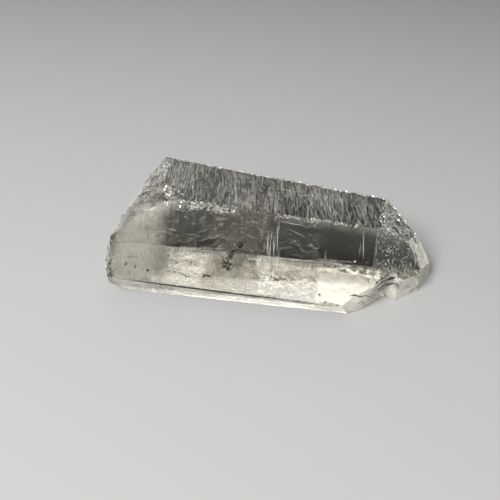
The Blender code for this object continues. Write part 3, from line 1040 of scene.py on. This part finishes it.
# Soft boxes: name, azimuth and elevation (deg), distance and size (m).
LIGHT_AIM = (0.0, 0.0, 0.008)
SOFT_BOXES = (
    ("back", -17.0, 39.0, 0.7, (0.36, 0.13)),
    ("side", -100.0, 25.0, 0.7, (0.40, 0.30)),
    ("key", 200.0, 45.0, 0.7, (0.30, 0.30)),
    ("over", -64.0, 77.0, 0.6, (0.25, 0.25)),
)

CAMERA_AZIMUTH = math.radians(12.0)
CAMERA_ELEVATION = math.radians(35.0)
CAMERA_LENS_MM = 43.2
CAMERA_CLIP = 0.005
CAMERA_DISTANCE = 0.13453
CAMERA_TARGET_MM = (-3.477, 7.836, 0.0)

MOST_BOUNCES, GLOSSY_BOUNCES, DIFFUSE_BOUNCES = 32, 24, 4


def place_camera():
    """Camera at the height and side the crystal is seen from."""
    a, e = CAMERA_AZIMUTH, CAMERA_ELEVATION
    back = Vector((math.sin(a) * math.cos(e), -math.cos(a) * math.cos(e), math.sin(e)))
    right = Vector((math.cos(a), math.sin(a), 0.0))
    up = back.cross(right)
    data = bpy.data.cameras.new("camera")
    data.lens = CAMERA_LENS_MM
    data.clip_start = CAMERA_CLIP
    cam = new_object("camera", data)
    turn = Matrix((right, up, back)).transposed().to_4x4()
    target = Vector(CAMERA_TARGET_MM) * MM
    cam.matrix_world = Matrix.Translation(target + back * CAMERA_DISTANCE) @ turn
    bpy.context.scene.camera = cam


def soft_box(name, azimuth, elevation, distance, size, power):
    """Rectangular soft light, placed by its direction from the crystal."""
    a, e = math.radians(azimuth), math.radians(elevation)
    away = Vector((math.sin(a) * math.cos(e), math.cos(a) * math.cos(e), math.sin(e)))
    data = bpy.data.lights.new(name, "AREA")
    data.shape = "RECTANGLE"
    data.size, data.size_y = size
    data.energy = power
    lamp = new_object(name, data)
    lamp.location = Vector(LIGHT_AIM) + away * distance
    lamp.rotation_euler = away.to_track_quat("Z", "Y").to_euler()


def set_world(level):
    """Even surroundings."""
    world = bpy.data.worlds.new("studio")
    world.use_nodes = True
    feed(world.node_tree.nodes["Background"],
         {"Color": (1.0, 1.0, 1.0, 1.0), "Strength": level})
    bpy.context.scene.world = world


def set_light_paths():
    """Enough bounces for light that is reflected inside the crystal."""
    bpy.context.scene.view_settings.view_transform = "Standard"
    cycles = bpy.context.scene.cycles
    cycles.max_bounces = cycles.transmission_bounces = MOST_BOUNCES
    cycles.transparent_max_bounces = MOST_BOUNCES
    cycles.glossy_bounces = GLOSSY_BOUNCES
    cycles.diffuse_bounces = DIFFUSE_BOUNCES
    cycles.caustics_reflective = cycles.caustics_refractive = False


# ---- Operators ----

class QUARTZ_OT_crystal(bpy.types.Operator):
    """Make the crystal"""
    bl_idname = "quartz.crystal"
    bl_label = "Crystal"

    def execute(self, context):
        scene = context.scene
        bm = merged_copy(NODE)
        mark_faces(bm)
        surface = scene.quartz_surface
        material = quartz_material(scene.quartz_glass, surface)
        piece = new_piece("crystal", bm, material)
        frozen(piece, relief_tree(material, surface))
        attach(piece, BODY)
        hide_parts(NODE)
        return {"FINISHED"}


class QUARTZ_OT_frost(bpy.types.Operator):
    """Scatter crumbs of frost over the worn and broken faces"""
    bl_idname = "quartz.frost"
    bl_label = "Frost"

    def execute(self, context):
        flaws = context.scene.quartz_flaws
        size = flaws.frost_size
        tree = scatter_tree(
            "frost_crumbs", frost_material(flaws), "crumbs", patchy,
            density=flaws.frost_density, length=size, width=size * 0.8,
            thickness=size * 0.25, spread=0.00001, tilt=0.35, seed=flaws.seed)
        scattered("frost", tree)
        return {"FINISHED"}


class QUARTZ_OT_glints(bpy.types.Operator):
    """Lay growth lines painted bright as highlights across the lined faces"""
    bl_idname = "quartz.glints"
    bl_label = "Growth glints"

    def execute(self, context):
        flaws = context.scene.quartz_flaws
        # Painted highlights: the growth lines are drawn in frost white.
        tree = scatter_tree(
            "glint_lines", frost_material(flaws), "glints", banded, across_growth,
            room_to_edge, corners=4, density=flaws.glint_density,
            length=flaws.glint_length, width=flaws.glint_width, thickness=0.00002,
            depth=0.00001, spread=0.00001, tilt=0.0, spin=0.03, seed=flaws.seed + 20)
        scattered("growth_glints", tree)
        return {"FINISHED"}


class QUARTZ_OT_bruises(bpy.types.Operator):
    """Crush the upper front edge in places, and paint highlights with splinters along the
    top outline and at the point
    """
    bl_idname = "quartz.bruises"
    bl_label = "Bruises"

    def execute(self, context):
        flaws = context.scene.quartz_flaws
        size = flaws.bruise_size
        # The same splinters paint the highlight along the top outline and the glint at
        # the point.
        sparkle = frost_material(flaws, "crushed_quartz", metal=0.55, roughness=0.30)
        tree = scatter_tree(
            "bruise_splinters", sparkle, "everywhere", bruised,
            density=flaws.bruise_density, length=size, width=size * 0.6,
            thickness=size * 0.5, depth=0.00001, spread=0.00003, tilt=0.7,
            seed=flaws.seed + 40)
        scattered("edge_bruises", tree)
        return {"FINISHED"}


class QUARTZ_OT_veils(bpy.types.Operator):
    """Fill in the milky root and the healed cracks"""
    bl_idname = "quartz.veils"
    bl_label = "Veils"

    def execute(self, context):
        colour = context.scene.quartz_flaws.frost_and_glint_colour
        for step, (name, where, *row) in enumerate(VEILS):
            film = veil_material(name, colour, *row[:4])
            point, out = film_plane(where)
            sheet = film_slice(point + out * FILM_GAP * step, out, *row[4:])
            finished(new_piece(name, sheet, film))
        milk = bmesh.new()
        for depth in ROOT_DEPTHS:
            sheet = film_slice(*film_plane(("B", depth)), ROOT_REACH, ROOT_FADE)
            layer = sheet.verts.layers.float["film"]
            for v in sheet.verts:
                v[layer] *= ROOT_MILK
            mesh = bpy.data.meshes.new("sheet")
            sheet.to_mesh(mesh)
            sheet.free()
            milk.from_mesh(mesh)
            bpy.data.meshes.remove(mesh)
        haze = veil_material("root_milk", colour, 1.0, 0.9, 700.0, 0.55)
        finished(new_piece("root_milk", milk, haze))
        return {"FINISHED"}


class QUARTZ_OT_specks(bpy.types.Operator):
    """Set dark specks, bright sparks and threads inside, and dark lines of painted shade
    under the front's lower edge
    """
    bl_idname = "quartz.specks"
    bl_label = "Specks and threads"

    def execute(self, context):
        flaws = context.scene.quartz_flaws
        # Dark specks and cracks share this material with the painted shade lines.
        dark = flaw_material("dark_specks", flaws.speck_and_shade_colour, 0.6, metal=0.0)
        sunk = [(Vector(at) + Vector(SPECK_SINK), *rest) for at, *rest in SPECKS]
        specks = crumb_clouds(sunk, SPECK_SIZE, flaws.seed, SPECK_COVER)
        for points, width in CRACKS:
            thread(specks, [Vector(p) + Vector(CRACK_LIFT) for p in points], width)
        # Dark threads just under the front's lower edge: painted shade.
        for first, second, low, high, offset, width in EDGE_SHADE_LINES:
            ends = [beside_edge(first, second, at, offset) for at in (low, high)]
            thread(specks, ends, width)
        bmesh.ops.recalc_face_normals(specks, faces=specks.faces)
        finished(new_piece("dark_specks", specks, dark))
        bright = flaw_material("bright_flaws", (0.95, 0.95, 0.92), 0.35)
        sparks = crumb_clouds(SPARKS, SPARK_SIZE, flaws.seed + 1, SPECK_COVER)
        finished(new_piece("bright_flaws", sparks, bright))
        lines = [pair for line in SPARK_LINES for pair in along_line(*line)]
        threads = crumb_clouds(lines, LINE_CRUMB, flaws.seed + 2)
        for points, width in THREADS:
            thread(threads, points, width)
        bmesh.ops.recalc_face_normals(threads, faces=threads.faces)
        white = frost_material(flaws, "thread_white")
        finished(new_piece("bright_threads", threads, white))
        return {"FINISHED"}


class QUARTZ_OT_stage(bpy.types.Operator):
    """Set the floor, the lights and the camera"""
    bl_idname = "quartz.stage"
    bl_label = "Stage"

    def execute(self, context):
        light = context.scene.studio_light
        bm = bmesh.new()
        bmesh.ops.create_grid(bm, x_segments=1, y_segments=1, size=FLOOR_HALF)
        bmesh.ops.translate(bm, vec=(0.0, 0.0, -AIR_GAP), verts=bm.verts)
        floor = new_piece("floor", bm, floor_material(light))
        set_world(light.world_level)
        for name, *place in SOFT_BOXES:
            soft_box(name + "_box", *place, getattr(light, name + "_power"))
        place_camera()
        set_light_paths()
        return {"FINISHED"}


class QUARTZ_PT_panel(bpy.types.Panel):
    """Lists the steps"""
    bl_label = "Lemurian Quartz"
    bl_idname = "QUARTZ_PT_panel"
    bl_space_type = "VIEW_3D"
    bl_region_type = "UI"
    bl_category = "Quartz"

    def draw(self, context):
        for step in STEPS:
            self.layout.operator(step)


CLASSES = (
    QuartzSurface, QuartzGlass, QuartzFlaws, StudioLight,
    QUARTZ_OT_crystal, QUARTZ_OT_frost, QUARTZ_OT_glints, QUARTZ_OT_bruises,
    QUARTZ_OT_veils, QUARTZ_OT_specks, QUARTZ_OT_stage, QUARTZ_PT_panel)
STEPS = ("quartz.crystal", "quartz.frost", "quartz.glints", "quartz.bruises",
         "quartz.veils", "quartz.specks", "quartz.stage")


SETTINGS = {"quartz_surface": QuartzSurface, "quartz_glass": QuartzGlass,
            "quartz_flaws": QuartzFlaws, "studio_light": StudioLight}


def register():
    for cls in CLASSES:
        bpy.utils.register_class(cls)
    for name, group in SETTINGS.items():
        setattr(bpy.types.Scene, name, PointerProperty(type=group))


def unregister():
    for name in SETTINGS:
        delattr(bpy.types.Scene, name)
    for cls in reversed(CLASSES):
        bpy.utils.unregister_class(cls)


def main():
    register()
    for step in STEPS:
        group, name = step.split(".")
        getattr(getattr(bpy.ops, group), name)()


if __name__ == "__main__":
    main()
